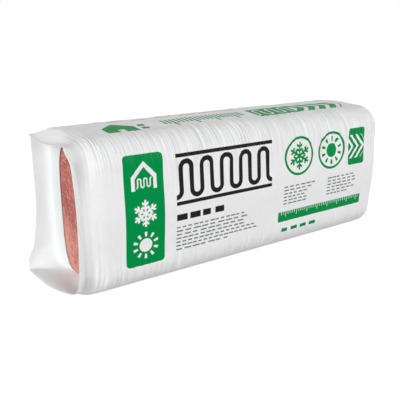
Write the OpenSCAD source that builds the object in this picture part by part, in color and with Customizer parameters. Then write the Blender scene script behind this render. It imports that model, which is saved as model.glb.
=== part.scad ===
// Bag of fiberglass insulation batts: folded, compressed batts in a film sleeve.
// The bag lies on its long side. X runs along it from the open mouth to the closed end,
// Y runs from the front to the back, and Z is up from the floor. All sizes are in millimetres.

/* [Batts] */
// Number of batts in the bag, each folded in half
batt_count = 16; // [8:1:24]
// Width of a batt
batt_w = 381; // [300:1:610]
// Length of a batt before it is folded
batt_l = 2362; // [1600:1:2500]
// Thickness of one layer as it is compressed in the bag
layer_t = 15.2; // [10:0.1:24]
// Gap between one layer and the next
layer_gap = 0.4; // [0.2:0.1:0.8]
// How far the cut ends of the batts stand unevenly behind each other
batt_stagger = 5; // [0:0.5:10]

/* [Bag] */
// Thickness of the film as it is modelled
film_t = 1; // [0.8:0.1:2]
// Clearance between the film and the batts
film_clear = 0.5; // [0.3:0.1:0.9]
// Radius of the bag's long edges over the compressed batts
edge_r = 88; // [60:1:125]
// Bulge of the front and the back
side_crown = 7; // [0:0.5:12]
// Bulge of the top
top_crown = 6; // [0:0.5:12]
// Radius round the closed end
end_r = 24; // [10:1:55]
// Slack between the folds of the batts and the closed end
end_slack = 13; // [2:1:30]

/* [Mouth] */
// Depth of the turned-in collar, from the bag's shoulder to the batts
collar_depth = 18; // [8:1:35]
// Width of the opening in the collar
opening_w = 194; // [100:1:260]
// Height of the opening in the collar
opening_h = 414; // [250:1:430]
// Distance of the opening's middle below the bag's middle
opening_low = 14; // [0:1:25]
// Squareness of the opening, from 2 for an oval
opening_square = 3.5; // [2:0.1:5]
// Reach of the free rim past the batts, in the middle of the front
rim_front = 65; // [40:1:120]
// Reach of the rim at the upper front corner
rim_front_top = 91; // [40:1:120]
// Reach of the rim in the middle of the top
rim_top = 73; // [40:1:120]
// Reach of the rim at the upper back corner
rim_back_top = 50; // [40:1:120]
// Reach of the rim in the middle of the back
rim_back = 58; // [40:1:120]
// Reach of the rim at the lower back corner
rim_back_bottom = 100; // [40:1:140]
// Reach of the rim in the middle of the bottom
rim_bottom = 119; // [40:1:140]
// Reach of the rim at the lower front corner
rim_front_bottom = 86; // [40:1:140]
// How far the rim's corners stand out past the bag's sides
rim_flare = 5; // [0:1:15]
// How far the slack front and back draw in at the middle of the rim
rim_side_sag = 24; // [0:1:40]
// How far the slack top hangs in at the middle of the rim
rim_top_sag = 15; // [0:1:40]
// How far the rim's upper front corner stands below the top of the bag
rim_front_drop = 11; // [0:1:25]
// How far the rim's upper back corner hangs below the top of the bag
rim_back_drop = 31; // [0:1:45]
// How far the rim's lower front corner is lifted off the floor
rim_lift = 38; // [0:1:45]
// Radius of the rim's upper front corner
rim_front_top_r = 40; // [10:1:70]
// Radius of the rim's upper back corner
rim_back_top_r = 14; // [10:1:70]
// Radius of the rim's lower back corner
rim_back_bottom_r = 30; // [10:1:70]
// Radius of the rim's lower front corner
rim_front_bottom_r = 44; // [10:1:90]

/* [Hidden] */

// Film and clearance together, from the bag's outside to the batts
skin = film_t + film_clear;
bag_w = batt_w + 2 * skin;
stack_h = 2 * batt_count * layer_t;
bag_h = stack_h + 2 * skin;

// A folded batt is two flat legs and a half-round fold
leg_l = (batt_l - PI * layer_t / 2) / 2;
folded_l = leg_l + layer_t;
bag_end = folded_l + end_slack + film_t;

// The reach of the rim at eight stations, from the middle of the front over the top and round
rim_reach = [
    rim_front, rim_front_top, rim_top, rim_back_top,
    rim_back, rim_back_bottom, rim_bottom, rim_front_bottom
];

// The part's origin is under the middle of its length
mid_x = (bag_end - max(rim_reach)) / 2;

// Steps along each side, round each corner, along the mouth and round the closed end
side_n = 8;
arc_n = 8;
mouth_n = 5;
end_n = 5;
quarter_n = side_n + arc_n;
ring_n = 4 * quarter_n;

// Colours as the object shows them
film_colour = "#f1f1f0";
wool_colour = "#c0665f";

// Points between a and b, pushed out along the direction out by a bulge that is highest midway
function side_points(a, b, out, bulge) =
    [for (i = [1 : side_n - 1]) let (s = i / side_n) a + (b - a) * s + out * 4 * bulge * s * (1 - s)];

// Points round a corner, from the angle start through a quarter turn
function corner_points(centre, r, start) =
    [for (i = [0 : arc_n]) let (a = start - 90 * i / arc_n) centre + r * [cos(a), sin(a)]];

// A closed section as [y, z]: up the front, back along the top, down the back and along the floor.
// y is half its width. The heights and the radii are those of its upper front, upper back, lower back
// and lower front corners. The sides and the top bulge out, or hang in where a bulge is under 0.
function section(y, z, r, side, top) =
    concat(
        side_points([-y, z[3] + r[3]], [-y, z[0] - r[0]], [-1, 0], side),
        corner_points([-y + r[0], z[0] - r[0]], r[0], 180),
        side_points([-y + r[0], z[0]], [y - r[1], z[1]], [0, 1], top),
        corner_points([y - r[1], z[1] - r[1]], r[1], 90),
        side_points([y, z[1] - r[1]], [y, z[2] + r[2]], [1, 0], side),
        corner_points([y - r[2], z[2] + r[2]], r[2], 0),
        side_points([y - r[2], z[2]], [-y + r[3], z[3]], [0, -1], 0),
        corner_points([-y + r[3], z[3] + r[3]], r[3], -90)
    );

// The packed section, drawn in by inset all round
function packed(inset) =
    let (high = bag_h - top_crown - inset, r = edge_r - inset)
    section(bag_w / 2 - side_crown - inset, [high, high, inset, inset], [r, r, r, r], side_crown, top_crown);

// The slack section at the rim, drawn in by inset all round
function slack(inset) =
    section(
        bag_w / 2 + rim_flare - inset,
        [bag_h - rim_front_drop - inset, bag_h - rim_back_drop - inset, inset, rim_lift + inset],
        [for (r = [rim_front_top_r, rim_back_top_r, rim_back_bottom_r, rim_front_bottom_r]) r - inset],
        -rim_side_sag, -rim_top_sag
    );

// A ring of the film across the bag at x
function flat_ring(points, x) = [for (p = points) [x, p[0], p[1]]];

// The reach of the rim at point i, eased from one station to the next
function reach_at(i) =
    let (
        s = 8 * (i + 1 - side_n / 2 + ring_n) / ring_n,
        k = floor(s),
        ease = (1 - cos(180 * (s - k))) / 2
    )
    rim_reach[k % 8] * (1 - ease) + rim_reach[(k + 1) % 8] * ease;

// A ring of the slack mouth: s runs from 0 at the shoulder to 1 at the rim
function mouth_ring(s, inset) =
    let (a = packed(inset), b = slack(inset), ease = s * s * (3 - 2 * s))
    [for (i = [0 : ring_n - 1])
        let (p = a[i] * (1 - ease) + b[i] * ease)
        [-collar_depth - (reach_at(i) - collar_depth) * s, p[0], p[1]]];

// The edge of the collar's opening at x, a squared oval that faces the packed section point for point
function opening_ring(x) =
    let (centre = [0, bag_h / 2 - opening_low], n = opening_square)
    [for (p = packed(film_t))
        let (
            d = p - centre,
            k = pow(pow(abs(d[0]) / (opening_w / 2), n) + pow(abs(d[1]) / (opening_h / 2), n), -1 / n)
        )
        [x, centre[0] + d[0] * k, centre[1] + d[1] * k]];

// Rings round the closed end, from its flat middle out to the straight sides
function end_rings(inset) =
    let (r = end_r - inset)
    [for (i = [0 : end_n])
        let (a = 90 - 90 * i / end_n)
        flat_ring(packed(inset + r * (1 - cos(a))), bag_end - end_r + r * sin(a))];

function reversed(list) = [for (i = [len(list) - 1 : -1 : 0]) list[i]];

// A closed solid skinned over a row of rings, with a flat cap on its first and last ring
module skinned(rings) {
    last = (len(rings) - 1) * ring_n;
    polyhedron(
        points = [for (ring = rings) for (p = ring) p],
        faces = concat(
            [[for (i = [0 : ring_n - 1]) i]],
            [for (j = [0 : len(rings) - 2]) for (i = [0 : ring_n - 1])
                let (a = j * ring_n + i, b = j * ring_n + (i + 1) % ring_n)
                each [[a, b + ring_n, b], [a, a + ring_n, b + ring_n]]],
            [[for (i = [ring_n - 1 : -1 : 0]) last + i]]
        )
    );
}

// The film sleeve in one skin: from inside its closed end along the batts to the shoulder, in over the
// collar to its opening, out along the mouth to the rim, and back along the outside
module film_bag() {
    inside = end_rings(film_t);
    outside = end_rings(0);
    shoulder = -collar_depth;
    rings = concat(
        inside,
        [flat_ring(packed(film_t), shoulder + film_t)],
        [opening_ring(-film_clear), opening_ring(-film_clear - film_t)],
        [for (i = [0 : mouth_n]) mouth_ring(i / mouth_n, film_t)],
        [for (i = [mouth_n : -1 : 0]) mouth_ring(i / mouth_n, 0)],
        reversed(outside)
    );
    color(film_colour) translate([-mid_x, 0, 0])
        intersection() {
            skinned(rings);
            above_floor();
        }
}

// The space above the floor round the whole bag, which leaves the underside as one flat face
module above_floor() {
    translate([-2 * max(rim_reach), -bag_w, 0]) cube([bag_end + 4 * max(rim_reach), 2 * bag_w, 2 * bag_h]);
}

// The room that the batts fill inside the film
module pack_room() {
    skinned(concat(end_rings(skin), [flat_ring(packed(skin), 0)]));
}

// One batt folded in half, with the slit between its legs open at the mouth
module folded_batt() {
    batt_h = 2 * layer_t - layer_gap;
    rotate([90, 0, 0])
        linear_extrude(height = bag_w, center = true)
            difference() {
                union() {
                    square([leg_l, batt_h]);
                    translate([leg_l, batt_h / 2]) circle(d = batt_h);
                }
                translate([-batt_stagger, (batt_h - layer_gap) / 2]) square([batt_stagger + leg_l, layer_gap]);
            }
}

// The stack of folded batts, cut by the rounded room inside the film
module batts() {
    color(wool_colour) translate([-mid_x, 0, 0])
        intersection() {
            pack_room();
            for (i = [0 : batt_count - 1])
                translate([batt_stagger * (1 - cos(137 * i)) / 2, 0, skin + layer_gap / 2 + 2 * i * layer_t])
                    folded_batt();
        }
}

film_bag();
batts();
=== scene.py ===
"""A bag of fiberglass insulation batts: a printed film sleeve over folded, compressed glass wool."""

import functools
import math

import bmesh
import bpy
from bpy.props import FloatProperty, FloatVectorProperty, IntProperty, PointerProperty
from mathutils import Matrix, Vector, noise


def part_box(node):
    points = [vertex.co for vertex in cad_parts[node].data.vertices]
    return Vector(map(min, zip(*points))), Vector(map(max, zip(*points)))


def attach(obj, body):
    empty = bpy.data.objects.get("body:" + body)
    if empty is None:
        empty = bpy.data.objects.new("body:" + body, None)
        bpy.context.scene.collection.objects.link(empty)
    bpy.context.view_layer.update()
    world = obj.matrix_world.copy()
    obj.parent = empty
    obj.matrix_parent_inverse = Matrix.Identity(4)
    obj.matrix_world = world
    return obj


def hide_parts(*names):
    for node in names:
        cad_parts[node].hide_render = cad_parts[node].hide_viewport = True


bl_info = {
    "name": "Bag of Insulation Batts",
    "version": (1, 0, 0),
    "blender": (4, 5, 0),
    "location": "View3D > Sidebar > Batts",
    "description": "Builds a printed film sleeve and the folded batts in it",
    "category": "Object",
}

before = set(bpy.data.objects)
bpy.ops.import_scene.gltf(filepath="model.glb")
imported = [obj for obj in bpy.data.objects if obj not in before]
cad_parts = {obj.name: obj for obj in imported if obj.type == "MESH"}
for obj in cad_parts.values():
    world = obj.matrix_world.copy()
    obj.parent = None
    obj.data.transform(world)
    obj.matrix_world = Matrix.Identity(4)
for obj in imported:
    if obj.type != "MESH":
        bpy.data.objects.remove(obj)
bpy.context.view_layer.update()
FILM_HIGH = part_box("film_bag")[1]
WOOL_LOW, WOOL_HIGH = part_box("batts")

# The film and its clearance, on both sides of the batts together
FILM_ROOM = 0.003

# Steps of the film's mesh round its girth: half the underside, each corner, front, top and back
UNDER_STEPS = 6
CORNER_STEPS = 19
FRONT_STEPS = 32
TOP_STEPS = 22
BACK_STEPS = 26

# Rows of the film's mesh along it: the closed end, its edge, the sides, the slack film, the rim,
# the inner film and the collar
END_ROWS = 26
EDGE_ROWS = 8
SIDE_ROWS = 430
SLACK_ROWS = 26
RIM_ROWS = 5
INNER_ROWS = 18
COLLAR_ROWS = 22

# Lengths in the film's UV map: the closed end, and the parts of the mouth measured from the shoulder
END_LENGTH = 0.20
SLACK_LENGTH = 0.07
RIM_STEP = 0.001
INNER_START, INNER_LENGTH = 0.08, 0.06
COLLAR_START, COLLAR_LENGTH = 0.14, 0.09
OPENING_PLACE = 0.232

# How far the edge of the opening is tucked in along the bag, and the share of its width that is left
OPENING_TUCK = 0.0008
OPENING_TUCK_SHARE = 0.998

# Where the film's inner face starts in its UV map, measured from the cut ends
INNER_FACE = 0.0925

# Places round the mouth, each with its spread, in stations from the middle of the front over the top:
# the drawn-in corners, the back corner that sinks soonest and the floor that rises to the batts
CORNER_DRAW = (0.62, 0.36)
FOOT_DRAW = (-0.75, 0.40)
EAR_SINK = (3.0, 0.8)
FLOOR_LIFT = (6.0, 0.5)

# The drawn-in front of the mouth, in stations: its middle, its reach to both sides and its fade there.
# Then where it is deepest between the shoulder and the rim, and how much nearer the rim at its corner
FRONT_MIDDLE, FRONT_REACH, FRONT_FADE = 0.25, 1.9, 0.8
DEEPEST_DRAW = 0.50
DEEPEST_CORNER = 0.15

# Rounds that ease the turns of the slack rim, and the station up to which they do
EASE_ROUNDS = 16
EASE_END = 10.2

# The closed end: the set-back of its edge, its bulge, the height and spread of the bulge, and its folds
END_SET_BACK = 0.007
END_BULGE = 0.009
END_BULGE_PLACE = (0.19, 0.15)
END_FOLD = 0.0045

# The soft crease at the foot of the collar: its start along the slack film, the length of its turn and
# its share of the collar's rows
CREASE_START = 0.007
CREASE_TURN = 0.026
CREASE_ROWS = 0.4

# The wool: room beside it in the film, set-back and stagger of its cut ends, and room at the closed end
WOOL_INSET = 0.0120
WOOL_SET_BACK = 0.0024
WOOL_STAGGER = 0.0004
WOOL_END_ROOM = 0.020

# Steps across and up a layer's cut end and the seal, and the distance within which points are joined
WOOL_STEPS = (100, 6)
SEAL_STEPS = (90, 8)
JOIN_DISTANCE = 0.00005

# The seal at the closed end: its share of the width, how far it hangs down and its thickness
SEAL_SHARE = 0.39
SEAL_DROP = 0.026
SEAL_THICKNESS = 0.0011

# How far the print on the back is moved along to stay clear of the mouth
BACK_SHIFT = 0.060

# The stage: its white, the colour, glow and reach of the floor, and the size, aim and places of the lights
WHITE = (1.0, 1.0, 1.0)
FLOOR_COLOUR = (0.52, 0.52, 0.52)
FLOOR_GLOW = 0.80
FLOOR_REACH = 14.0
LIGHT_SIZE = (4.5, 4.0)
LIGHT_AIM = (0.0, 0.0, 0.25)
LEFT_LIGHT_PLACE = (-9.25, -6.45, 4.3)
RIGHT_LIGHT_PLACE = (9.6, -2.6, 1.2)


def number_of(name, description, default, **kind):
    """A property that holds a number."""
    return FloatProperty(name=name, description=description, default=default, **kind)


def length_of(name, description, default):
    """A property that holds a length."""
    return number_of(name, description, default, unit="LENGTH")


def lengths_of(name, description, default):
    """A property that holds lengths at several places."""
    return FloatVectorProperty(
        name=name, description=description, default=default, size=len(default), subtype="NONE")


def colour_of(name, description, default):
    """A property that holds a colour."""
    return FloatVectorProperty(name=name, description=description, default=default, subtype="COLOR")


class SleeveSizes(bpy.types.PropertyGroup):
    """Sizes of the film over the compressed batts."""

    width: length_of(
        "Width", "Width of the bag over its bulging sides", WOOL_HIGH[1] - WOOL_LOW[1] + FILM_ROOM)
    height: length_of("Height", "Height of the bag over its bulging top", FILM_HIGH[2])
    closed_end: length_of("Closed End", "Place of the closed end along the bag", FILM_HIGH[0])
    cut_end: length_of("Cut Ends", "Place of the cut ends of the batts along the bag", WOOL_LOW[0])
    edge_radius: length_of("Edge Radius", "Radius of the long edges", 0.088)
    side_bulge: length_of("Side Bulge", "Bulge of the front and the back", 0.007)
    top_bulge: length_of("Top Bulge", "Bulge of the top", 0.006)
    end_radius: length_of("End Radius", "Radius round the closed end", 0.024)


class MouthSizes(bpy.types.PropertyGroup):
    """Sizes of the slack film past the batts and of the collar turned in over them."""

    collar_depth: length_of("Collar Depth", "Depth of the collar from the shoulder to the batts", 0.018)
    crease_depth: length_of("Crease Depth", "Depth of the collar's crease from the shoulder", 0.017)
    collar_rise: length_of("Collar Rise", "How far the wool pushes out the edge of the opening", 0.006)
    opening_width: length_of("Opening Width", "Width of the opening in the collar", 0.182)
    opening_height: length_of("Opening Height", "Height of the opening in the collar", 0.414)
    opening_low: length_of("Opening Drop", "Distance of the opening below the middle of the bag", 0.014)
    opening_square: number_of("Opening Squareness", "Squareness of the opening, from 2 for an oval", 3.5)
    reach: lengths_of(
        "Rim Reach", "Reach of the rim at eight places from the middle of the front over the top and round",
        (0.071, 0.090, 0.074, 0.061, 0.057, 0.103, 0.112, 0.085))
    corner_width: lengths_of(
        "Rim Corner Widths",
        "Rounding across the upper front, upper back, lower back and lower front corners of the rim",
        (0.040, 0.014, 0.014, 0.044))
    corner_height: lengths_of(
        "Rim Corner Heights",
        "Rounding up the upper front, upper back, lower back and lower front corners of the rim",
        (0.040, 0.014, 0.075, 0.044))
    flare: length_of("Flare", "How far the corners of the rim stand out past the sides", 0.005)
    front_sag: length_of("Front Sag", "How far the front draws in at the rim", 0.004)
    back_draw: length_of("Back Draw", "How far the whole back of the rim is drawn in", 0.015)
    back_sag: length_of(
        "Back Sag", "How far the back draws in further in the middle of the rim, or out below 0", -0.006)
    waist: length_of("Waist", "How far the slack film draws in between the shoulder and the rim", 0.0085)
    draw_length: length_of("Draw Length", "How far in over the batts the film is drawn in", 0.042)
    corner_waist: length_of(
        "Corner Waist", "How much further it draws in below the upper front corner", 0.012)
    foot_waist: length_of("Foot Waist", "How much further it draws in above the lower front corner", 0.013)
    top_sag: length_of("Top Sag", "How far the top hangs in at the rim", 0.015)
    front_drop: length_of(
        "Front Drop", "How far the upper front corner of the rim stands below the top", 0.011)
    back_drop: length_of("Back Drop", "How far the upper back corner of the rim hangs below the top", 0.0315)
    lift: length_of("Lift", "How far the lower front corner of the rim is lifted", 0.038)
    floor_rise: length_of(
        "Floor Rise", "How far the inner film rises off the floor of the mouth towards the batts", 0.020)
    hem: length_of("Hem", "Thickness of the doubled film at the rim", 0.0014)


class BattSizes(bpy.types.PropertyGroup):
    """Sizes of the folded batts."""

    layers: IntProperty(name="Layers", description="Number of layers in the stack", default=32)
    gap: length_of("Gap", "Gap between one layer and the next", 0.0001)
    headroom: length_of("Headroom", "Room between the wool and the straight top of the film", 0.0150)
    swell: length_of("Swell", "How far a cut end swells between its faces", 0.0002)
    dome: length_of("Dome", "How far the wool stands out in the middle of the opening", 0.0080)
    raggedness: length_of("Raggedness", "Unevenness of the cut ends", 0.0016)


class FilmFinish(bpy.types.PropertyGroup):
    """Looks of the film and its print."""

    white: colour_of("Film", "Colour of the bare film", (0.84, 0.84, 0.845))
    # Painted shade: the inner face is darker than the bare film and tinted cool against the pink light
    # bounced off the wool
    inner: colour_of("Inner Film", "Colour of the film's inner face", (0.80, 0.818, 0.822))
    green: colour_of("Green Ink", "Colour of the green print", (0.0, 0.262, 0.062))
    black: colour_of("Black Ink", "Colour of the black print", (0.016, 0.015, 0.016))
    grey: colour_of("Grey Ink", "Colour of the rows of small bars", (0.17, 0.17, 0.17))
    pink: colour_of("Pink Ink", "Colour of the thin line on the top", (0.72, 0.13, 0.16))
    roughness: number_of("Roughness", "Roughness of the bare film", 0.32, subtype="FACTOR")
    rib_height: length_of("Rib Height", "Height of the tension ribs over the long edges", 0.0060)


class WoolFinish(bpy.types.PropertyGroup):
    """Looks of the glass wool."""

    mid: colour_of("Wool", "Main colour of the wool", (0.46, 0.142, 0.116))
    # The light wool also shows more towards the bottom of the cut ends, as painted light
    light: colour_of("Light Wool", "Colour of the loose fibres", (0.72, 0.32, 0.265))
    # Partly painted shade: the dark wool lies where the wool's relief is lowest, in its hollows, among its
    # uneven colour
    dark: colour_of("Dark Wool", "Colour of the hollows", (0.30, 0.070, 0.055))


class StageSettings(bpy.types.PropertyGroup):
    """The camera and the lights."""

    camera_place: FloatVectorProperty(
        name="Camera", description="Place of the camera", subtype="TRANSLATION",
        default=(-1.1666, -1.5790, 0.7868))
    camera_turn: number_of(
        "Camera Turn", "Turn of the camera to the right", math.radians(34.913), subtype="ANGLE")
    camera_tilt: number_of(
        "Camera Tilt", "Tilt of the camera below level", math.radians(17.329), subtype="ANGLE")
    lens: number_of("Lens", "Focal length in millimetres", 50.482)
    sky_low: number_of("Low Sky", "Strength of the light from all round at the horizon", 0.97)
    sky_high: number_of("High Sky", "Strength of the light from overhead", 0.11)
    left_light: number_of("Left Light", "Power of the soft light at the front left", 920.0, subtype="POWER")
    right_light: number_of("Right Light", "Power of the soft light at the right end", 590.0, subtype="POWER")


def ease(t):
    """Smooth step from 0 to 1."""
    t = min(max(t, 0.0), 1.0)
    return t * t * (3.0 - 2.0 * t)


def bump_at(t, centre, width):
    """A soft hump of height 1 round a centre."""
    return math.exp(-(((t - centre) / width) ** 2))


def band(v, low, rise, high, fall):
    """1 between low and high, eased in over rise after low and out over fall before high."""
    return ease((v - low) / rise) * ease((high - v) / fall)


def ripple(height, x, y, seed):
    """Soft unevenness of a height at a place."""
    return height * noise.noise(Vector((x, y, seed)))


def tight_bow(s):
    """The bulge of packed film along a side, flush with the rounded edges."""
    return math.sin(math.pi * s) ** 2


def slack_bow(s):
    """The sag of slack film along a side, with a turn at its corners."""
    return 4.0 * s * (1.0 - s)


def film_section(halves, tops, widths, heights, bulges, bow):
    """One girth of the film as (y, z, station), from the middle of the underside over the front and round.

    halves are its reaches to the front and the back. tops, widths and heights belong to the upper front,
    upper back, lower back and lower front corners, and the last two are the roundings there. bulges are
    those of the front, top and back, and bow gives the share of one along its side. A station counts the
    middles of the sides and corners from 0 at the middle of the front to 8 there again.
    """
    near, far = halves
    front, top, back = bulges
    # Corners: f or b for front or back, then t or b for top or bottom, with h for a height and z for a level
    ft, bt, bb, fb = widths
    hft, hbt, hbb, hfb = heights
    zft, zbt, zbb, zfb = tops
    middle = Vector((0.5 * (bb - fb), 0.5 * (zbb + zfb)))
    girth = []

    def run(a, b, out, bulge, steps, first, last):
        for i in range(steps):
            s = i / steps
            p = Vector(a).lerp(Vector(b), s) + Vector(out) * bulge * bow(s)
            girth.append((p.x, p.y, first + (last - first) * s))

    def turn(centre, width, height, start, first):
        for i in range(CORNER_STEPS):
            s = i / CORNER_STEPS
            a = math.radians(start - 90.0 * s)
            girth.append((centre[0] + width * math.cos(a), centre[1] + height * math.sin(a), first + s))

    run(middle, (-near + fb, zfb), (0, 0), 0.0, UNDER_STEPS, 6.0, 6.5)
    turn((-near + fb, zfb + hfb), fb, hfb, -90.0, 6.5)
    run((-near, zfb + hfb), (-near, zft - hft), (-1, 0), front, FRONT_STEPS, 7.5, 8.5)
    turn((-near + ft, zft - hft), ft, hft, 180.0, 8.5)
    run((-near + ft, zft), (far - bt, zbt), (0, 1), top, TOP_STEPS, 9.5, 10.5)
    turn((far - bt, zbt - hbt), bt, hbt, 90.0, 10.5)
    run((far, zbt - hbt), (far, zbb + hbb), (1, 0), back, BACK_STEPS, 11.5, 12.5)
    turn((far - bb, zbb + hbb), bb, hbb, 0.0, 12.5)
    run((far - bb, zbb), middle, (0, 0), 0.0, UNDER_STEPS, 13.5, 14.0)
    girth.append((middle.x, middle.y, 14.0))
    return girth


def relaxed(girth):
    """A girth with its turns at the front eased, and its other corners left as they are."""
    for _ in range(EASE_ROUNDS):
        eased = list(girth)
        for i in range(1, len(girth) - 1):
            if girth[i][2] < EASE_END:
                y = (girth[i - 1][0] + 2.0 * girth[i][0] + girth[i + 1][0]) / 4.0
                z = (girth[i - 1][1] + 2.0 * girth[i][1] + girth[i + 1][1]) / 4.0
                eased[i] = (y, z, girth[i][2])
        girth = eased
    return girth


def packed_girth(sleeve, inset):
    """The girth over the compressed batts, drawn in by inset."""
    high = sleeve.height - sleeve.top_bulge - inset
    radius = sleeve.edge_radius - inset
    half = sleeve.width / 2 - sleeve.side_bulge - inset
    tops = (high, high, inset, inset)
    round_edges = (radius,) * 4
    bulges = (sleeve.side_bulge, sleeve.top_bulge, sleeve.side_bulge)
    return film_section((half, half), tops, round_edges, round_edges, bulges, tight_bow)


def slack_girth(sleeve, mouth, inset):
    """The girth of the slack film at its rim, drawn in by inset."""
    front_high = sleeve.height - mouth.front_drop - inset
    back_high = sleeve.height - mouth.back_drop - inset
    widths = [r - inset for r in mouth.corner_width]
    heights = [r - inset for r in mouth.corner_height]
    half = sleeve.width / 2 + mouth.flare - inset
    tops = (front_high, back_high, inset, mouth.lift + inset)
    bulges = (-mouth.front_sag, -mouth.top_sag, -mouth.back_sag)
    halves = (half, half - mouth.back_draw)
    return relaxed(film_section(halves, tops, widths, heights, bulges, slack_bow))


def reach_at(mouth, station):
    """Reach of the rim past the batts at a station."""
    k = math.floor(station)
    blend = (1.0 - math.cos(math.pi * (station - k))) / 2.0
    return mouth.reach[k % 8] * (1.0 - blend) + mouth.reach[(k + 1) % 8] * blend


def girth_lengths(girth):
    """Distance round the girth of each of its points."""
    lengths = [0.0]
    for a, b in zip(girth, girth[1:]):
        lengths.append(lengths[-1] + math.hypot(b[0] - a[0], b[1] - a[1]))
    return lengths


def opening_point(sleeve, mouth, p):
    """The edge of the collar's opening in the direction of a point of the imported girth."""
    low = sleeve.height / 2 - mouth.opening_low
    k = 1.0 / opening_share(sleeve, mouth, p[0], p[1])
    return p[0] * k, low + (p[1] - low) * k


def opening_share(sleeve, mouth, y, z):
    """How far out a point lies, as a share of the way to the edge of the opening."""
    n = mouth.opening_square
    across = abs(y) / (mouth.opening_width / 2)
    up = abs(z - sleeve.height / 2 + mouth.opening_low) / (mouth.opening_height / 2)
    return (across ** n + up ** n) ** (1.0 / n)


def end_set_back(z):
    """How far the edge of the closed end stands behind its middle: least where the pack bulges."""
    return END_SET_BACK - END_BULGE * bump_at(z, *END_BULGE_PLACE)


def shoulder_place(sleeve, mouth):
    """Place along the bag where the film runs past the batts."""
    return sleeve.cut_end - mouth.collar_depth


def end_rows(sleeve):
    """Rows of the film from the middle of its closed end to the sides."""
    rows = []
    end, radius = sleeve.closed_end, sleeve.end_radius
    flat = packed_girth(sleeve, radius)
    middle = Vector((0.0, sleeve.height / 2))
    for i in range(END_ROWS):
        s = i / END_ROWS
        ring = []
        for p in flat:
            out = Vector(p[:2]) - middle
            turn = out.normalized() * 2.6
            fold = ripple(1.0, turn.x, turn.y, s * 1.2) + ripple(0.6, turn.x * 2.4, turn.y * 2.4, 4.0)
            z = middle.y + out.y * s
            set_back = end_set_back(z) * s * s + END_FOLD * (0.6 + fold) * math.sin(math.pi * s)
            ring.append((end - set_back, middle.x + out.x * s, z))
        rows.append((end + END_LENGTH * (1.0 - s), ring))
    for i in range(EDGE_ROWS):
        a = math.pi / 2 * (1.0 - i / EDGE_ROWS)
        out = math.sin(a)
        ring = []
        for y, z, _ in packed_girth(sleeve, radius * (1.0 - math.cos(a))):
            ring.append((end - radius + (radius - end_set_back(z)) * out, y, z))
        rows.append((end - radius + radius * out, ring))
    return rows


def side_rows(sleeve, mouth):
    """Rows of the film along the batts, drawn in towards the mouth."""
    rows = []
    packed = packed_girth(sleeve, 0.0)
    first, start = sleeve.closed_end - sleeve.end_radius, shoulder_place(sleeve, mouth)
    for i in range(SIDE_ROWS):
        x = first + (start - first) * i / SIDE_ROWS
        t = (start - x) / mouth.draw_length
        ring = packed
        if t > -1.0:
            ring = [drawn_in(sleeve, mouth, station, t, y, z) for y, z, station in packed]
        rows.append((x, [(x, p[0], p[1]) for p in ring]))
    return rows


def mouth_rows(sleeve, mouth):
    """Rows of the slack film to the rim, round it, back in along the inside and over the collar."""
    rows = []
    start, hem = shoulder_place(sleeve, mouth), mouth.hem
    outer = list(zip(packed_girth(sleeve, 0.0), slack_girth(sleeve, mouth, 0.0)))
    for i in range(SLACK_ROWS + 1):
        s = i / SLACK_ROWS
        rows.append((start - SLACK_LENGTH * s, [slack_point(sleeve, mouth, a, b, s) for a, b in outer]))
    for i in range(1, RIM_ROWS):
        a = math.pi * i / RIM_ROWS
        out = hem / 2 * math.sin(a)
        ring = []
        for y, z, station in slack_girth(sleeve, mouth, hem / 2 * (1.0 - math.cos(a))):
            ring.append((sleeve.cut_end - reach_at(mouth, station) - out, y, z))
        rows.append((start - SLACK_LENGTH - RIM_STEP * i, ring))
    inner = list(zip(packed_girth(sleeve, hem), slack_girth(sleeve, mouth, hem)))
    for i in range(INNER_ROWS + 1):
        t = i / INNER_ROWS
        ring = []
        for a, b in inner:
            s = 1.0 + (crease_share(mouth, a[2]) - 1.0) * t
            ring.append(inner_point(sleeve, mouth, a, b, s))
        rows.append((start - INNER_START - INNER_LENGTH * t, ring))
    for i in range(1, COLLAR_ROWS + 1):
        t = i / COLLAR_ROWS
        ring = [collar_point(sleeve, mouth, a, b, t) for a, b in inner]
        rows.append((start - COLLAR_START - COLLAR_LENGTH * t, ring))
    edge = [(x + OPENING_TUCK, y * OPENING_TUCK_SHARE, z) for x, y, z in ring]
    rows.append((start - OPENING_PLACE, edge))
    return rows


def sleeve_rows(sleeve, mouth):
    """Rows of the film from the middle of its closed end to the edge of its opening, each (u, points)."""
    return end_rows(sleeve) + side_rows(sleeve, mouth) + mouth_rows(sleeve, mouth)


def drawn_in(sleeve, mouth, station, t, y, z):
    """A point drawn in at the mouth's front: t is 0 at the shoulder, 1 at the rim, -1 over the batts."""
    place = (station + 4.0) % 8.0 - 4.0
    front = ease((FRONT_REACH - abs(place - FRONT_MIDDLE)) / FRONT_FADE)
    corner, foot = bump_at(place, *CORNER_DRAW), bump_at(place, *FOOT_DRAW)
    waist = front * (mouth.waist + mouth.corner_waist * corner + mouth.foot_waist * foot)
    deepest = DEEPEST_DRAW + DEEPEST_CORNER * corner
    share = ease((t + 1.0) / (1.0 + deepest))
    if t > deepest:
        share = 1.0 - ease((t - deepest) / (1.0 - deepest))
    k = 1.0 - waist * share / (sleeve.width / 2)
    middle = sleeve.height / 2
    return y * k, min(z, middle + (z - middle) * k)


def slack_point(sleeve, mouth, a, b, s):
    """A point of the slack film: s is 0 at the shoulder and 1 at the rim."""
    sunk = bump_at(a[2] % 8.0, *EAR_SINK)
    k = ease(s ** (1.0 - 0.5 * sunk))
    reach = mouth.collar_depth + (reach_at(mouth, a[2]) - mouth.collar_depth) * s
    y, z = a[0] * (1.0 - k) + b[0] * k, a[1] * (1.0 - k) + b[1] * k
    return (sleeve.cut_end - reach, *drawn_in(sleeve, mouth, a[2], s, y, z))


def rise_at(mouth, station):
    """Rise of the inner film off the floor of the mouth at its crease."""
    return mouth.floor_rise * bump_at(station % 8.0, *FLOOR_LIFT)


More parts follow.
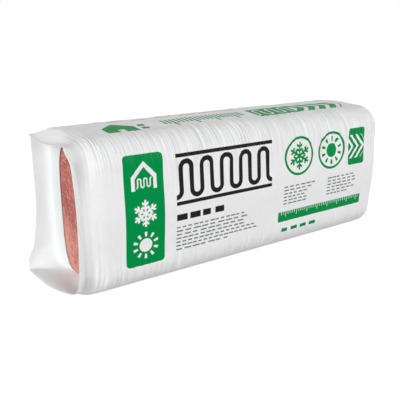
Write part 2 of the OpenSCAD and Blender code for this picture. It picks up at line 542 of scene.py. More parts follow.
def inner_point(sleeve, mouth, a, b, s):
    """A point of the inner film in the mouth, which rises from the rim towards the batts."""
    x, y, z = slack_point(sleeve, mouth, a, b, s)
    return (x, y, z + rise_at(mouth, a[2]) * (1.0 - s) ** 0.75)


def crease_share(mouth, station):
    """How far out along the slack film the soft crease of the collar starts."""
    return min(0.55, CREASE_START / max(reach_at(mouth, station) - mouth.collar_depth, 0.02))


def collar_point(sleeve, mouth, a, b, t):
    """A point of the collar: t runs from the start of its crease to the edge of the opening."""
    deep = shoulder_place(sleeve, mouth) + mouth.crease_depth
    edge = Vector((deep, *opening_point(sleeve, mouth, a)))
    inward = -mouth.crease_depth / mouth.draw_length
    crease = Vector((deep, *drawn_in(sleeve, mouth, a[2], inward, a[0], a[1])))
    crease.z += rise_at(mouth, a[2])
    first = Vector(inner_point(sleeve, mouth, a, b, crease_share(mouth, a[2])))
    last = crease.lerp(edge, min(CREASE_TURN / (edge - crease).length, 0.6))
    if t < CREASE_ROWS:
        s = t / CREASE_ROWS
        return tuple(first.lerp(crease, s).lerp(crease.lerp(last, s), s))
    s = (t - CREASE_ROWS) / (1.0 - CREASE_ROWS)
    p = last.lerp(edge, s)
    return (p.x - mouth.collar_rise * s ** 3, p.y, p.z)


def girth_marks(sleeve):
    """Distance round the girth at the ends of its runs: underside, front, top and back, each in turn."""
    lengths = girth_lengths(packed_girth(sleeve, 0.0))
    steps = (UNDER_STEPS, CORNER_STEPS, FRONT_STEPS, CORNER_STEPS, TOP_STEPS, CORNER_STEPS, BACK_STEPS)
    marks, place = [], 0
    for count in steps:
        place += count
        marks.append(lengths[place])
    return marks + [lengths[-1]]


def rib_share(marks, x, v):
    """Where the tension ribs show: over the upper edges, up from the lower ones and near both ends."""
    under, front, front_top, top, back_top, back, back_low, girth = marks
    upper = band(v, front_top - 0.12, 0.15, top + 0.025, 0.05)
    rear = band(v, back_top - 0.025, 0.05, back + 0.10, 0.13)
    lower = band(v, under + 0.02, 0.06, front + 0.07, 0.10)
    foot = band(v, back_low - 0.07, 0.10, girth - under - 0.02, 0.06)
    ends = 0.20 * bump_at(x, -0.55, 0.07) + 0.34 * bump_at(x, 0.63, 0.06)
    left = 0.35 + 0.65 * ease((x + 0.50) / 0.16)
    return max(left * max(upper, 0.4 * rear), 0.75 * lower, 0.75 * foot, ends, 0.06)


def film_swell(marks, rib_height, v, station, p):
    """How far the film stands off its plain form at a point of its outside."""
    x = p.x
    under = 5.2 < station % 8.0 < 6.8
    off_floor = 0.0 if under else ease((p.z - 0.004) / 0.05)
    lumps = ripple(0.0013, x * 6.0, v * 5.0, 1.7) + ripple(0.0006, x * 15.0, v * 9.0, 7.3)
    wander = x + ripple(0.012, x * 7.0, v * 4.0, 2.2) + 0.03 * v
    ribs = ripple(0.7, wander * 80.0, v * 3.0, 3.0) + ripple(0.4, wander * 165.0, v * 4.5, 9.0)
    slack = ease((x + 0.615) / 0.05)
    return off_floor * (lumps + slack * rib_height * rib_share(marks, x, v) * ribs)


def film_mesh(sleeve, mouth, finish):
    """The film as one mesh with its girth and length in metres in its UV map."""
    marks = girth_marks(sleeve)
    rows = sleeve_rows(sleeve, mouth)
    packed = packed_girth(sleeve, 0.0)
    lengths = girth_lengths(packed)
    across, down = len(packed) - 1, len(rows) - 1
    bm = bmesh.new()
    unit_grid(bm, across, down)
    uv = bm.loops.layers.uv.new("film")
    places = {}
    for vert in bm.verts:
        places[vert] = (round((vert.co.x + 1.0) / 2.0 * across), round((vert.co.y + 1.0) / 2.0 * down))
    for face in bm.faces:
        for loop in face.loops:
            i, j = places[loop.vert]
            loop[uv].uv = (rows[j][0], lengths[i])
    points = [row[1] for row in rows]
    rim = shoulder_place(sleeve, mouth) - SLACK_LENGTH - RIM_STEP / 10
    for vert in bm.verts:
        i, j = places[vert]
        p = Vector(points[j][i])
        if rim < rows[j][0] < sleeve.closed_end - 0.002:
            left, right = Vector(points[j][(i - 1) % across]), Vector(points[j][(i + 1) % across])
            before, after = Vector(points[max(j - 1, 0)][i]), Vector(points[min(j + 1, down)][i])
            normal = (right - left).cross(after - before).normalized()
            if normal.y * p.y + normal.z * (p.z - sleeve.height / 2) < 0:
                normal.negate()
            p += normal * film_swell(marks, finish.rib_height, lengths[i], packed[i][2], p)
        vert.co = p
    add_seal(bm, uv, sleeve)
    bmesh.ops.remove_doubles(bm, verts=bm.verts, dist=JOIN_DISTANCE)
    front = Vector((0.0, -sleeve.width / 2, sleeve.height / 2))
    probe = min(bm.faces, key=lambda face: (face.calc_center_median() - front).length)
    if probe.normal.y > 0:
        bmesh.ops.reverse_faces(bm, faces=bm.faces)
    return smooth_mesh(bm, "film_sleeve")


def unit_grid(bm, across, down):
    """The vertices of a flat grid from -1 to 1 both ways."""
    return bmesh.ops.create_grid(bm, x_segments=across, y_segments=down, size=1.0)["verts"]


def smooth_mesh(bm, name):
    """A smooth-shaded mesh of a finished bmesh, which is freed."""
    for face in bm.faces:
        face.smooth = True
    mesh = bpy.data.meshes.new(name)
    bm.to_mesh(mesh)
    bm.free()
    return mesh


def new_verts(grown):
    """The vertices that an extrusion made."""
    return [item for item in grown if isinstance(item, bmesh.types.BMVert)]


def add_seal(bm, uv, sleeve):
    """The flat sealed fin across the closed end, folded down against it."""
    half = sleeve.width * SEAL_SHARE
    strip = unit_grid(bm, *SEAL_STEPS)
    for vert in strip:
        across, down = vert.co.x, (vert.co.y + 1.0) / 2.0
        wave = ripple(1.0, across * 7.0, 0.0, 3.1) + ripple(0.5, across * 19.0, down, 6.2)
        crimp = 0.0003 * math.cos(down * 24.0) if down > 0.45 else 0.0
        z = sleeve.height / 2 + 0.004 - down * (SEAL_DROP + ripple(0.0016, across * 11.0, 2.0, 1.0))
        flat = abs(across) * 0.93
        out = 0.0008 + down * (0.0022 + 0.0018 * wave) + crimp
        out -= end_set_back(z) * flat * flat + 0.0025 * math.sin(math.pi * flat)
        vert.co = Vector((sleeve.closed_end + out, across * half, z))
    faces = list(dict.fromkeys(face for vert in strip for face in vert.link_faces))
    for face in faces:
        for loop in face.loops:
            loop[uv].uv = (sleeve.closed_end + 0.15, loop.vert.co.y)
    grown = new_verts(bmesh.ops.extrude_face_region(bm, geom=faces)["geom"])
    for vert in grown:
        vert.co.x += SEAL_THICKNESS
    shell = faces + [face for vert in grown for face in vert.link_faces]
    shell = [face for face in dict.fromkeys(shell) if face.is_valid]
    bmesh.ops.recalc_face_normals(bm, faces=shell)


def wool_half_width(sleeve, z):
    """Half the width of the wool at a height."""
    radius = sleeve.edge_radius - WOOL_INSET
    half = sleeve.width / 2 - sleeve.side_bulge - WOOL_INSET
    low, high = WOOL_INSET + radius, sleeve.height - sleeve.top_bulge - WOOL_INSET - radius
    z = min(z, high + radius)
    past = max(low - z, z - high, 0.0)
    if past:
        return half - radius + math.sqrt(max(radius * radius - past ** 2, 0.0))
    return half + sleeve.side_bulge * tight_bow((z - low) / (high - low))


def wool_mesh(sleeve, mouth, batts):
    """The layers of the batts: ragged cut ends at the mouth on blocks that run to the closed end."""
    bm = bmesh.new()
    base = WOOL_LOW[2]
    middle = sleeve.height / 2 - mouth.opening_low
    thickness = (sleeve.height - sleeve.top_bulge - batts.headroom - base) / batts.layers
    for k in range(batts.layers):
        low = base + k * thickness
        high = low + thickness - batts.gap
        half = min(wool_half_width(sleeve, low), wool_half_width(sleeve, high))
        end = sleeve.cut_end + WOOL_SET_BACK + WOOL_STAGGER + ripple(WOOL_STAGGER, k // 2 * 3.7, 0.4, 8.8)
        verts = unit_grid(bm, *WOOL_STEPS)
        for vert in verts:
            y = vert.co.x * half
            t = (vert.co.y + 1.0) / 2.0
            z = low + (high - low) * t
            swell = batts.swell * (1.0 - abs(2.0 * t - 1.0) ** 3)
            rag = ripple(0.6, y * 60.0, z * 26.0, 2.0) + ripple(0.36, y * 190.0, z * 70.0, 5.0)
            out = max(opening_share(sleeve, mouth, y, z), 0.01)
            past_edge = (1.0 - 1.0 / out) * math.hypot(y, z - middle)
            dome = 1.0 - ease((past_edge + 0.0035) / 0.0085) + 0.4 * max(1.0 - out ** 2, 0.0)
            vert.co = Vector((end - swell - batts.dome * dome + batts.raggedness * rag, y, z))
        edges = dict.fromkeys(edge for vert in verts for edge in vert.link_edges)
        edges = [edge for edge in edges if edge.is_boundary]
        grown = bmesh.ops.extrude_edge_only(bm, edges=edges)["geom"]
        for vert in new_verts(grown):
            vert.co.x = sleeve.closed_end - WOOL_END_ROOM
        rim = [item for item in grown if isinstance(item, bmesh.types.BMEdge)]
        bmesh.ops.holes_fill(bm, edges=rim, sides=0)
    bmesh.ops.recalc_face_normals(bm, faces=bm.faces)
    return smooth_mesh(bm, "batts_wool")


class Graph:
    """Short calls that add nodes to one tree."""

    def __init__(self, tree):
        self.tree = tree

    def node(self, kind, **settings):
        made = self.tree.nodes.new(kind)
        for name, value in settings.items():
            setattr(made, name, value)
        return made

    def plug(self, value, socket):
        """Set a socket to a plain value, or link it to another socket."""
        if isinstance(value, bpy.types.NodeSocket):
            self.tree.links.new(value, socket)
        else:
            socket.default_value = value

    def feed(self, kind, *values, **settings):
        """The first output of a new node whose inputs are fed in order."""
        made = self.node(kind, **settings)
        for value, socket in zip(values, made.inputs):
            self.plug(value, socket)
        return made.outputs[0]

    def calc(self, operation, *values):
        return self.feed("ShaderNodeMath", *values, operation=operation)

    def add(self, a, b):
        return self.calc("ADD", a, b)

    def sub(self, a, b):
        return self.calc("SUBTRACT", a, b)

    def mul(self, a, b):
        return self.calc("MULTIPLY", a, b)

    def absolute(self, a):
        return self.calc("ABSOLUTE", a)

    def far(self, a, b):
        """Distance of a point from the middle."""
        return self.calc("SQRT", self.add(self.mul(a, a), self.mul(b, b)))

    def both(self, *masks):
        return functools.reduce(self.mul, masks)

    def either(self, *masks):
        return functools.reduce(functools.partial(self.calc, "MAXIMUM"), masks)

    def without(self, mask, cut):
        return self.mul(mask, self.sub(1.0, cut))

    def less(self, a, b):
        return self.calc("LESS_THAN", a, b)

    def more(self, a, b):
        return self.calc("GREATER_THAN", a, b)

    def ramp(self, value, low, high, to_low=0.0, to_high=1.0):
        made = self.node("ShaderNodeMapRange", interpolation_type="SMOOTHSTEP")
        names = ("Value", "From Min", "From Max", "To Min", "To Max")
        for name, item in zip(names, (value, low, high, to_low, to_high)):
            self.plug(item, made.inputs[name])
        return made.outputs["Result"]

    def join(self, x, y, z=0.0):
        return self.feed("ShaderNodeCombineXYZ", x, y, z)

    def split(self, vector):
        made = self.node("ShaderNodeSeparateXYZ")
        self.plug(vector, made.inputs[0])
        return tuple(made.outputs)

    def noise(self, vector, scale, detail=2.0, roughness=0.5):
        made = self.node("ShaderNodeTexNoise")
        self.plug(vector, made.inputs["Vector"])
        for name, value in (("Scale", scale), ("Detail", detail), ("Roughness", roughness)):
            made.inputs[name].default_value = value
        return made.outputs["Fac"]

    def uneven(self, u, v, scales, seed, detail, roughness=0.5):
        """Noise from -0.5 to 0.5 over two lengths."""
        place = self.join(self.mul(u, scales[0]), self.mul(v, scales[1]), seed)
        return self.sub(self.noise(place, 1.0, detail, roughness), 0.5)

    def mix(self, share, a, b):
        made = self.node("ShaderNodeMix", data_type="RGBA")
        self.plug(share, made.inputs[0])
        self.plug(a, made.inputs[6])
        self.plug(b, made.inputs[7])
        return made.outputs[2]


def new_group(name, inputs, outputs):
    """A shader node group with float sockets: its tree, graph, inputs and output node."""
    tree = bpy.data.node_groups.new(name, "ShaderNodeTree")
    for item in inputs:
        tree.interface.new_socket(item, in_out="INPUT", socket_type="NodeSocketFloat")
    for item in outputs:
        tree.interface.new_socket(item, in_out="OUTPUT", socket_type="NodeSocketFloat")
    graph = Graph(tree)
    given = graph.node("NodeGroupInput")
    result = graph.node("NodeGroupOutput")
    return tree, graph, given.outputs, result.inputs


class Stencil:
    """Plain printed shapes as masks over across and up, in metres."""

    def __init__(self, graph, across, up):
        self.g = graph
        self.p = across
        self.q = up

    def offset(self, x, y):
        return self.g.sub(self.p, x), self.g.sub(self.q, y)

    def panel(self, x0, y0, x1, y1, radius=0.0):
        g = self.g
        dx, dy = self.offset((x0 + x1) / 2, (y0 + y1) / 2)
        ax = g.sub(g.absolute(dx), (x1 - x0) / 2 - radius)
        ay = g.sub(g.absolute(dy), (y1 - y0) / 2 - radius)
        if not radius:
            return g.less(g.calc("MAXIMUM", ax, ay), 0.0)
        return g.less(g.far(g.calc("MAXIMUM", ax, 0.0), g.calc("MAXIMUM", ay, 0.0)), radius)

    def disc(self, x, y, radius):
        return self.g.less(self.g.far(*self.offset(x, y)), radius)

    def hoop(self, x, y, radius, stroke):
        return self.g.without(self.disc(x, y, radius), self.disc(x, y, radius - stroke))

    def winding(self, x0, y, turns, pitch, straight, stroke):
        """The winding line that stands for batts in a drawing: upright runs joined by half rings."""
        g = self.g
        dx, dy = self.offset(x0, y)
        side = g.mul(g.calc("SIGN", dy), 0.25)
        place = g.calc("FRACT", g.add(g.calc("DIVIDE", dx, 2.0 * pitch), side))
        local = g.mul(g.sub(place, 0.5), 2.0 * pitch)
        past = g.calc("MAXIMUM", g.sub(g.absolute(dy), straight), 0.0)
        line = g.less(g.absolute(g.sub(g.far(local, past), pitch / 2)), stroke / 2)
        return g.both(line, g.more(dx, -pitch / 2), g.less(dx, (turns + 0.5) * pitch))

    def gable(self, x, y, width, wall, roof):
        """A filled house front that stands at y."""
        g = self.g
        dx, dy = self.offset(x, y)
        ax = g.absolute(dx)
        top = g.sub(wall + roof, g.mul(ax, roof / (width / 2)))
        return g.both(g.less(ax, width / 2), g.more(dy, 0.0), g.less(dy, top))

    def swing(self, dx, dy, spokes):
        """How far a direction is off the nearest spoke, as a share of the gap between two."""
        g = self.g
        turn = g.mul(g.calc("ARCTAN2", dy, dx), spokes / (2.0 * math.pi))
        return g.absolute(g.sub(g.calc("FRACT", g.add(turn, 10.0)), 0.5))

    def sun(self, x, y, radius):
        g = self.g
        dx, dy = self.offset(x, y)
        far = g.far(dx, dy)
        rays = g.both(g.less(self.swing(dx, dy, 10.0), 0.17), g.more(far, radius * 0.66), g.less(far, radius))
        return g.either(self.disc(x, y, radius * 0.5), rays)

    def flake(self, x, y, radius, stroke):
        g = self.g
        dx, dy = self.offset(x, y)
        far = g.far(dx, dy)
        swing = g.mul(self.swing(dx, dy, 6.0), 2.0 * math.pi / 6.0)
        along = g.mul(far, g.calc("COSINE", swing))
        side = g.mul(far, g.calc("SINE", swing))
        arm = g.both(g.less(side, stroke / 2), g.less(along, radius))
        twigs = []
        for place in (0.34, 0.64):
            lean = g.sub(g.mul(g.sub(along, radius * place), 0.866), g.mul(side, 0.5))
            twigs.append(g.both(g.less(g.absolute(lean), stroke / 2), g.less(side, radius * 0.26)))
        return g.either(arm, *twigs)

    def ticks(self, x0, x1, y, pitch, short, long, stroke):
        """A rule's marks that hang from y, every fifth one long."""
        g = self.g
        place = g.calc("DIVIDE", g.sub(self.p, x0), pitch)
        near = g.absolute(g.sub(g.calc("FRACT", place), 0.5))
        count = g.calc("FLOOR", place)
        fifth = g.less(g.absolute(g.sub(g.calc("MODULO", count, 5.0), 2.0)), 0.5)
        length = g.add(g.mul(fifth, long - short), short)
        drop = g.sub(y, self.q)
        inside = self.panel(x0, y - 2 * long, x1, y + long)
        return g.both(g.less(near, stroke / pitch / 2), g.more(drop, 0.0), g.less(drop, length), inside)

    def chevrons(self, x0, x1, y, height, pitch, stroke):
        g = self.g
        dx, dy = self.offset(x0, y)
        off = g.absolute(dy)
        lean = g.add(dx, g.mul(off, 0.9))
        part = g.mul(g.calc("FRACT", g.calc("DIVIDE", lean, pitch)), pitch)
        return g.both(
            g.less(part, stroke), g.less(off, height / 2), g.more(lean, 0.0), g.less(lean, x1 - x0))

    def lines(self, x0, y0, x1, y1, pitch, height, word, seed):
        """Rows of short bars of uneven length."""
        g = self.g
        dx, dy = self.offset(x0, y0)
        row = g.calc("DIVIDE", dy, pitch)
        count = g.calc("FLOOR", row)
        inside_row = g.less(g.calc("FRACT", row), height / pitch)
        spread = self.chance(count, seed)
        place = g.calc("DIVIDE", dx, g.add(g.mul(spread, word * 0.5), word * 0.75))
        cell = g.calc("FLOOR", place)
        length = g.add(g.mul(self.chance(g.add(g.mul(count, 17.0), cell), seed + 3.0), 0.30), 0.58)
        words = g.less(g.calc("FRACT", place), length)
        stop = g.sub(x1 - x0, g.mul(self.chance(count, seed + 7.0), (x1 - x0) * 0.35))
        whole = g.less(g.mul(g.add(cell, 0.9), g.calc("DIVIDE", dx, place)), stop)
        return g.both(inside_row, words, whole, self.panel(x0, y0, x1, y1))

    def chance(self, value, seed):
        """A fixed chance from 0 to 1 for each whole value."""
        g = self.g
        made = g.node("ShaderNodeTexWhiteNoise", noise_dimensions="1D")
        g.plug(g.add(value, seed + 0.5), made.inputs["W"])
        return made.outputs["Value"]


def front_print():
    """The print of a long side: masks for green, black and grey over across and up."""
    tree, g, given, result = new_group("side_print", ("Across", "Up"), ("Green", "Black", "Grey"))
    s = Stencil(g, given["Across"], given["Up"])

    # A tall green panel with a house, a flake and a sun cut out of it
    house = s.gable(-0.395, 0.325, 0.086, 0.042, 0.044)
    house = g.without(house, s.gable(-0.395, 0.325, 0.062, 0.034, 0.035))
    room = s.winding(-0.4160, 0.346, 4, 0.0105, 0.008, 0.0040)
    cut = g.either(house, room, s.flake(-0.395, 0.252, 0.042, 0.007), s.sun(-0.395, 0.150, 0.044))
    panel = g.without(s.panel(-0.462, 0.085, -0.328, 0.432, 0.014), cut)

    # The winding batt line between the two faces of a wall
    wall = g.either(s.panel(-0.285, 0.405, 0.105, 0.417), s.panel(-0.285, 0.255, 0.105, 0.267))
    winding = s.winding(-0.2655, 0.336, 9, 0.0390, 0.036, 0.0155)
    heading = s.lines(-0.285, 0.205, 0.02, 0.228, 0.03, 0.021, 0.062, 3.0)
    small = s.lines(-0.285, 0.105, 0.06, 0.185, 0.0125, 0.0048, 0.026, 11.0)

    # Two rings with a flake and a sun, a block of direction marks, a rule and small bars
    hoop = g.either(s.hoop(0.235, 0.345, 0.070, 0.009), s.flake(0.235, 0.345, 0.050, 0.008))
    ring = g.either(s.hoop(0.400, 0.345, 0.070, 0.009), s.sun(0.400, 0.345, 0.052))
    block = s.panel(0.490, 0.275, 0.580, 0.415, 0.010)
    block = g.without(block, s.chevrons(0.507, 0.600, 0.345, 0.090, 0.030, 0.013))
    rule = s.panel(0.145, 0.110, 0.580, 0.148, 0.004)
    rule = g.without(rule, s.ticks(0.155, 0.570, 0.149, 0.0107, 0.013, 0.022, 0.0024))
    notes = s.lines(0.165, 0.175, 0.345, 0.250, 0.0125, 0.0048, 0.024, 23.0)
    more = s.lines(0.385, 0.175, 0.565, 0.250, 0.0125, 0.0048, 0.022, 37.0)
    strap = s.lines(0.165, 0.070, 0.40, 0.090, 0.02, 0.014, 0.045, 51.0)

    g.plug(g.either(panel, hoop, ring, block, rule, strap), result["Green"])
    g.plug(g.either(wall, winding, heading), result["Black"])
    g.plug(g.either(small, notes, more), result["Grey"])
    return tree


def top_print():
    """The print of the top: masks for green and pink over across and up."""
    tree, g, given, result = new_group("top_print", ("Across", "Up"), ("Green", "Pink"))
    s = Stencil(g, given["Across"], given["Up"])
    arrows = s.chevrons(0.350, 0.590, 0.052, 0.100, 0.058, 0.036)
    coil = s.winding(0.150, 0.052, 5, 0.030, 0.018, 0.0075)
    plate = g.without(s.panel(0.130, 0.000, 0.320, 0.104, 0.008), coil)
    rule = s.ticks(-0.240, 0.095, 0.092, 0.0165, 0.052, 0.078, 0.0085)
    house = s.gable(-0.400, 0.004, 0.110, 0.052, 0.048)
    house = g.without(house, s.panel(-0.411, 0.000, -0.389, 0.034))
    bars = s.lines(-0.330, 0.018, -0.262, 0.080, 0.032, 0.020, 0.034, 5.0)
    edge = s.lines(-0.380, 0.172, 0.520, 0.184, 0.012, 0.009, 0.090, 9.0)
    g.plug(g.either(arrows, plate, rule, house, bars), result["Green"])
    g.plug(edge, result["Pink"])
    return tree


def film_relief():
    """Fine tension lines, soft creases and grain of the film: a height in metres over its UV map."""
    tree, g, given, result = new_group("film_relief", ("Along", "Round", "Tension"), ("Height", "Wear"))
    u, v = given["Along"], given["Round"]
    wander = g.mul(g.uneven(u, v, (7.0, 4.0), 0.0, 1.0), 0.02)
    along = g.add(g.add(u, g.mul(v, 0.03)), wander)
    tension = g.mul(g.mul(g.uneven(along, v, (210.0, 6.0), 9.0, 1.5), given["Tension"]), 0.0060)
    crease = g.mul(g.uneven(u, v, (16.0, 9.0), 5.0, 3.0, 0.55), 0.0005)
    grain = g.mul(g.uneven(u, v, (420.0, 420.0), 1.0, 2.0, 0.6), 0.00002)
    g.plug(g.add(g.add(tension, crease), grain), result["Height"])
    g.plug(g.noise(g.join(g.mul(u, 30.0), g.mul(v, 30.0), 2.0), 1.0, 4.0, 0.6), result["Wear"])
    return tree


def place_group(g, tree, **values):
    """The outputs of a node group that is fed with values."""
    made = g.node("ShaderNodeGroup", node_tree=tree)
    for name, value in values.items():
        g.plug(value, made.inputs[name])
    return made.outputs


def plain(colour):
    """A colour without transparency."""
    return (colour[0], colour[1], colour[2], 1.0)


def new_material(name):
    """A material, its graph and its Principled shader."""
    material = bpy.data.materials.new(name)
    material.use_nodes = True
    return material, Graph(material.node_tree), material.node_tree.nodes["Principled BSDF"]


def add_bump(g, shader, height, strength, distance):
    """Shade a height as relief."""
    bump = g.node("ShaderNodeBump")
    bump.inputs["Strength"].default_value = strength
    bump.inputs["Distance"].default_value = distance
    g.plug(height, bump.inputs["Height"])
    g.plug(bump.outputs[0], shader.inputs["Normal"])


def film_material(sleeve, finish):
    """White polyethylene film with its print, ribs and creases."""
    material, g, shader = new_material("printed_film")
    u, v, _ = g.split(g.node("ShaderNodeUVMap", uv_map="film").outputs[0])
    marks = girth_marks(sleeve)
    front, top, girth = marks[1], marks[3], marks[-1]

    # Both long sides carry the same print, each read from its own side and clear of the mouth
    turned = g.more(v, girth / 2.0)
    sign = g.sub(1.0, g.mul(turned, 2.0))
    across = g.add(g.mul(u, sign), g.mul(turned, BACK_SHIFT))
    climb = g.sub(g.calc("MINIMUM", v, g.sub(girth, v)), front - sleeve.edge_radius)
    side = place_group(g, front_print(), Across=across, Up=climb)
    deck = place_group(g, top_print(), Across=u, Up=g.sub(v, top))
    outside = g.more(u, sleeve.cut_end)
    green = g.both(g.either(side["Green"], deck["Green"]), outside)
    black = g.both(side["Black"], outside)
    grey = g.both(side["Grey"], outside)
    pink = g.both(deck["Pink"], outside)

    # Fine lines where the film is drawn over the edges, and painted shade on the inner face past the rim:
    # darker than the bare film and tinted cool against the pink light bounced off the wool
    upper = g.mul(g.ramp(climb, 0.36, 0.44), g.ramp(climb, 0.575, 0.525))
    tension = g.mul(g.add(g.mul(upper, 0.85), 0.15), outside)
    relief = place_group(g, film_relief(), Along=u, Round=v, Tension=tension)
    worn = [c * 0.972 for c in finish.white]
    film = g.mix(g.ramp(relief["Wear"], 0.35, 0.7), plain(finish.white), plain(worn))
    # Painted shade on the inner face past the rim
    inside = g.less(u, sleeve.cut_end - INNER_FACE)
    layers = ((inside, finish.inner), (grey, finish.grey), (pink, finish.pink))
    layers += ((green, finish.green), (black, finish.black))
    for mask, colour in layers:
        film = g.mix(mask, film, plain(colour))
    g.plug(film, shader.inputs["Base Color"])
    ink = g.either(green, black)
    rough = g.add(g.mul(relief["Wear"], 0.12), finish.roughness - 0.06)
    g.plug(g.add(rough, g.mul(ink, 0.05)), shader.inputs["Roughness"])
    shader.inputs["Specular IOR Level"].default_value = 0.03
    add_bump(g, shader, relief["Height"], 1.0, 1.0)
    return material


def wool_material(finish):
    """Pink glass wool: mottled, with painted shade in the hollows of its relief and towards the top of the
    cut ends, and fine fibres that run mostly up and down at the cut ends.
    """
    material, g, shader = new_material("glass_wool")
    place = g.node("ShaderNodeTexCoord").outputs["Object"]
    x, y, z = g.split(place)
    bend = g.mul(g.sub(g.noise(place, 14.0, 2.0), 0.5), 0.05)
    strands = g.noise(g.join(x, g.mul(g.add(y, bend), 230.0), g.mul(z, 62.0)), 1.0, 4.0, 0.62)
    cross = g.noise(g.join(x, g.mul(g.add(y, g.mul(z, 0.5)), 260.0), g.mul(z, 190.0)), 1.0, 3.0, 0.65)
    clouds = g.noise(place, 17.0, 3.0, 0.55)
    tufts = g.noise(place, 105.0, 3.0, 0.6)
    mottle_and_shade = g.add(g.mul(clouds, 0.36), g.add(g.mul(strands, 0.52), g.mul(tufts, 0.32)))
    # Painted light and shade by height: the wool is darker towards the top of the cut ends and lighter
    # towards the bottom
    mottle_and_shade = g.add(mottle_and_shade, g.ramp(z, 0.24, 0.12, -0.06, 0.04))
    # Uneven colour of the wool, dark in the hollows of its relief as painted shade
    colour = g.mix(g.ramp(mottle_and_shade, 0.41, 0.53), plain(finish.dark), plain(finish.mid))
    colour = g.mix(g.ramp(mottle_and_shade, 0.54, 0.67), colour, plain(finish.light))
    g.plug(colour, shader.inputs["Base Color"])
    shader.inputs["Roughness"].default_value = 0.92
    shader.inputs["Specular IOR Level"].default_value = 0.25
    fibres = g.add(g.mul(strands, 0.6), g.add(g.mul(cross, 0.3), g.mul(tufts, 0.5)))
    add_bump(g, shader, fibres, 0.8, 0.004)
    return material


def seen_rays(g):
    """1 for the rays that show the stage to the camera, and 0 for those that only light the bag."""
    path = g.node("ShaderNodeLightPath").outputs
    return g.either(path["Is Camera Ray"], path["Is Glossy Ray"], path["Is Transmission Ray"])


def floor_material():
    """A pale matt floor that looks white without lighting the bag more."""
    material, g, shader = new_material("pale_floor")
    shader.inputs["Base Color"].default_value = plain(FLOOR_COLOUR)
    shader.inputs["Roughness"].default_value = 0.9
    shader.inputs["Specular IOR Level"].default_value = 0.0
    none, glow = [g.feed("ShaderNodeEmission", plain(WHITE), power) for power in (0.0, FLOOR_GLOW)]
    chosen = g.feed("ShaderNodeMixShader", seen_rays(g), none, glow)
    total = g.feed("ShaderNodeAddShader", shader.outputs[0], chosen)
    g.plug(total, material.node_tree.nodes["Material Output"].inputs["Surface"])
    return material


def studio_world(stage):
    """Even light from all round, seen as white."""
    world = bpy.data.worlds.new("studio")
    world.use_nodes = True
    g = Graph(world.node_tree)
    sky = world.node_tree.nodes["Background"]
    sky.inputs["Color"].default_value = plain(WHITE)
    seen = seen_rays(g)
    height = g.calc("MAXIMUM", g.split(g.node("ShaderNodeTexCoord").outputs["Generated"])[2], 0.0)
    glow = g.add(g.mul(height, stage.sky_high - stage.sky_low), stage.sky_low)
    g.plug(g.add(g.mul(glow, g.sub(1.0, seen)), seen), sky.inputs["Strength"])
    return world


def soft_light(name, place, power):
    """A large soft light that faces the bag."""
    light = bpy.data.lights.new(name, "AREA")
    light.shape = "RECTANGLE"
    light.size, light.size_y = LIGHT_SIZE
    light.energy = power
    lamp = bpy.data.objects.new(name, light)
    lamp.location = place
    lamp.rotation_euler = (Vector(LIGHT_AIM) - lamp.location).to_track_quat("-Z", "Y").to_euler()
    return lamp


def add_piece(mesh, material, node):
    """Show a mesh as a piece that stands for a node."""
    piece = bpy.data.objects.new(mesh.name, mesh)
    bpy.context.scene.collection.objects.link(piece)
    piece.data.materials.append(material)
    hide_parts(node)
    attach(piece, "root")
    return piece


class BATTS_OT_add_wool(bpy.types.Operator):
    """Build the compressed layers of glass wool."""

    bl_idname = "batts.add_wool"
    bl_label = "Add Batts"

    def execute(self, context):
        scene = context.scene
        mesh = wool_mesh(scene.batts_sleeve, scene.batts_mouth, scene.batts_wool)
        piece = add_piece(mesh, wool_material(scene.batts_wool_finish), "batts")
        return {"FINISHED"}


class BATTS_OT_add_film(bpy.types.Operator):
    """Build the printed film sleeve with its slack mouth and turned-in collar."""

    bl_idname = "batts.add_film"
    bl_label = "Add Film Sleeve"

    def execute(self, context):
        scene = context.scene
        mesh = film_mesh(scene.batts_sleeve, scene.batts_mouth, scene.batts_film)
        piece = add_piece(mesh, film_material(scene.batts_sleeve, scene.batts_film), "film_bag")
        return {"FINISHED"}


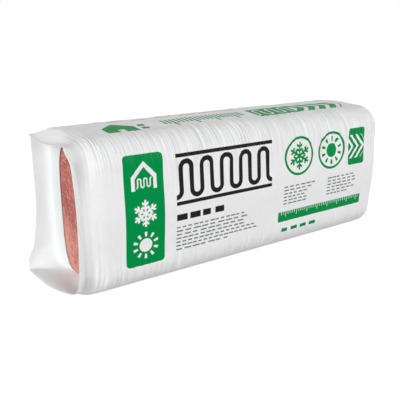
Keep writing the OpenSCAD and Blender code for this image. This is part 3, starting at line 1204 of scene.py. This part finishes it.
class BATTS_OT_add_stage(bpy.types.Operator):
    """Set up the pale floor, the soft light and the camera."""

    bl_idname = "batts.add_stage"
    bl_label = "Add Stage"

    def execute(self, context):
        scene = context.scene
        stage = scene.batts_stage
        scene.view_settings.view_transform = "Standard"
        bm = bmesh.new()
        bmesh.ops.create_grid(bm, x_segments=2, y_segments=2, size=FLOOR_REACH)
        floor = bpy.data.objects.new("floor", smooth_mesh(bm, "floor"))
        scene.collection.objects.link(floor)
        floor.data.materials.append(floor_material())
        scene.world = studio_world(stage)
        scene.collection.objects.link(soft_light("left", LEFT_LIGHT_PLACE, stage.left_light))
        scene.collection.objects.link(soft_light("right", RIGHT_LIGHT_PLACE, stage.right_light))
        camera = bpy.data.cameras.new("camera")
        camera.sensor_width = 36.0
        camera.lens = stage.lens
        eye = bpy.data.objects.new("camera", camera)
        eye.location = stage.camera_place
        eye.rotation_euler = (math.pi / 2 - stage.camera_tilt, 0.0, -stage.camera_turn)
        scene.collection.objects.link(eye)
        scene.camera = eye
        return {"FINISHED"}


class BATTS_PT_panel(bpy.types.Panel):
    """Lists the sizes, the looks and the steps of the bag."""

    bl_idname = "BATTS_PT_panel"
    bl_label = "Bag of Batts"
    bl_space_type = "VIEW_3D"
    bl_region_type = "UI"
    bl_category = "Batts"

    def draw(self, context):
        layout = self.layout
        for name in SETTINGS:
            box = layout.box()
            group = getattr(context.scene, name)
            for item in group.bl_rna.properties:
                if item.identifier not in {"rna_type", "name"}:
                    box.prop(group, item.identifier)
        for operator in OPERATORS:
            layout.operator(operator.bl_idname)


SETTINGS = {
    "batts_sleeve": SleeveSizes,
    "batts_mouth": MouthSizes,
    "batts_wool": BattSizes,
    "batts_film": FilmFinish,
    "batts_wool_finish": WoolFinish,
    "batts_stage": StageSettings,
}
OPERATORS = (BATTS_OT_add_wool, BATTS_OT_add_film, BATTS_OT_add_stage)


def register():
    for name, group in SETTINGS.items():
        bpy.utils.register_class(group)
        setattr(bpy.types.Scene, name, PointerProperty(type=group))
    for operator in OPERATORS:
        bpy.utils.register_class(operator)
    bpy.utils.register_class(BATTS_PT_panel)


def unregister():
    bpy.utils.unregister_class(BATTS_PT_panel)
    for operator in reversed(OPERATORS):
        bpy.utils.unregister_class(operator)
    for name, group in SETTINGS.items():
        delattr(bpy.types.Scene, name)
        bpy.utils.unregister_class(group)


def main():
    register()
    bpy.ops.batts.add_wool()
    bpy.ops.batts.add_film()
    bpy.ops.batts.add_stage()


if __name__ == "__main__":
    main()
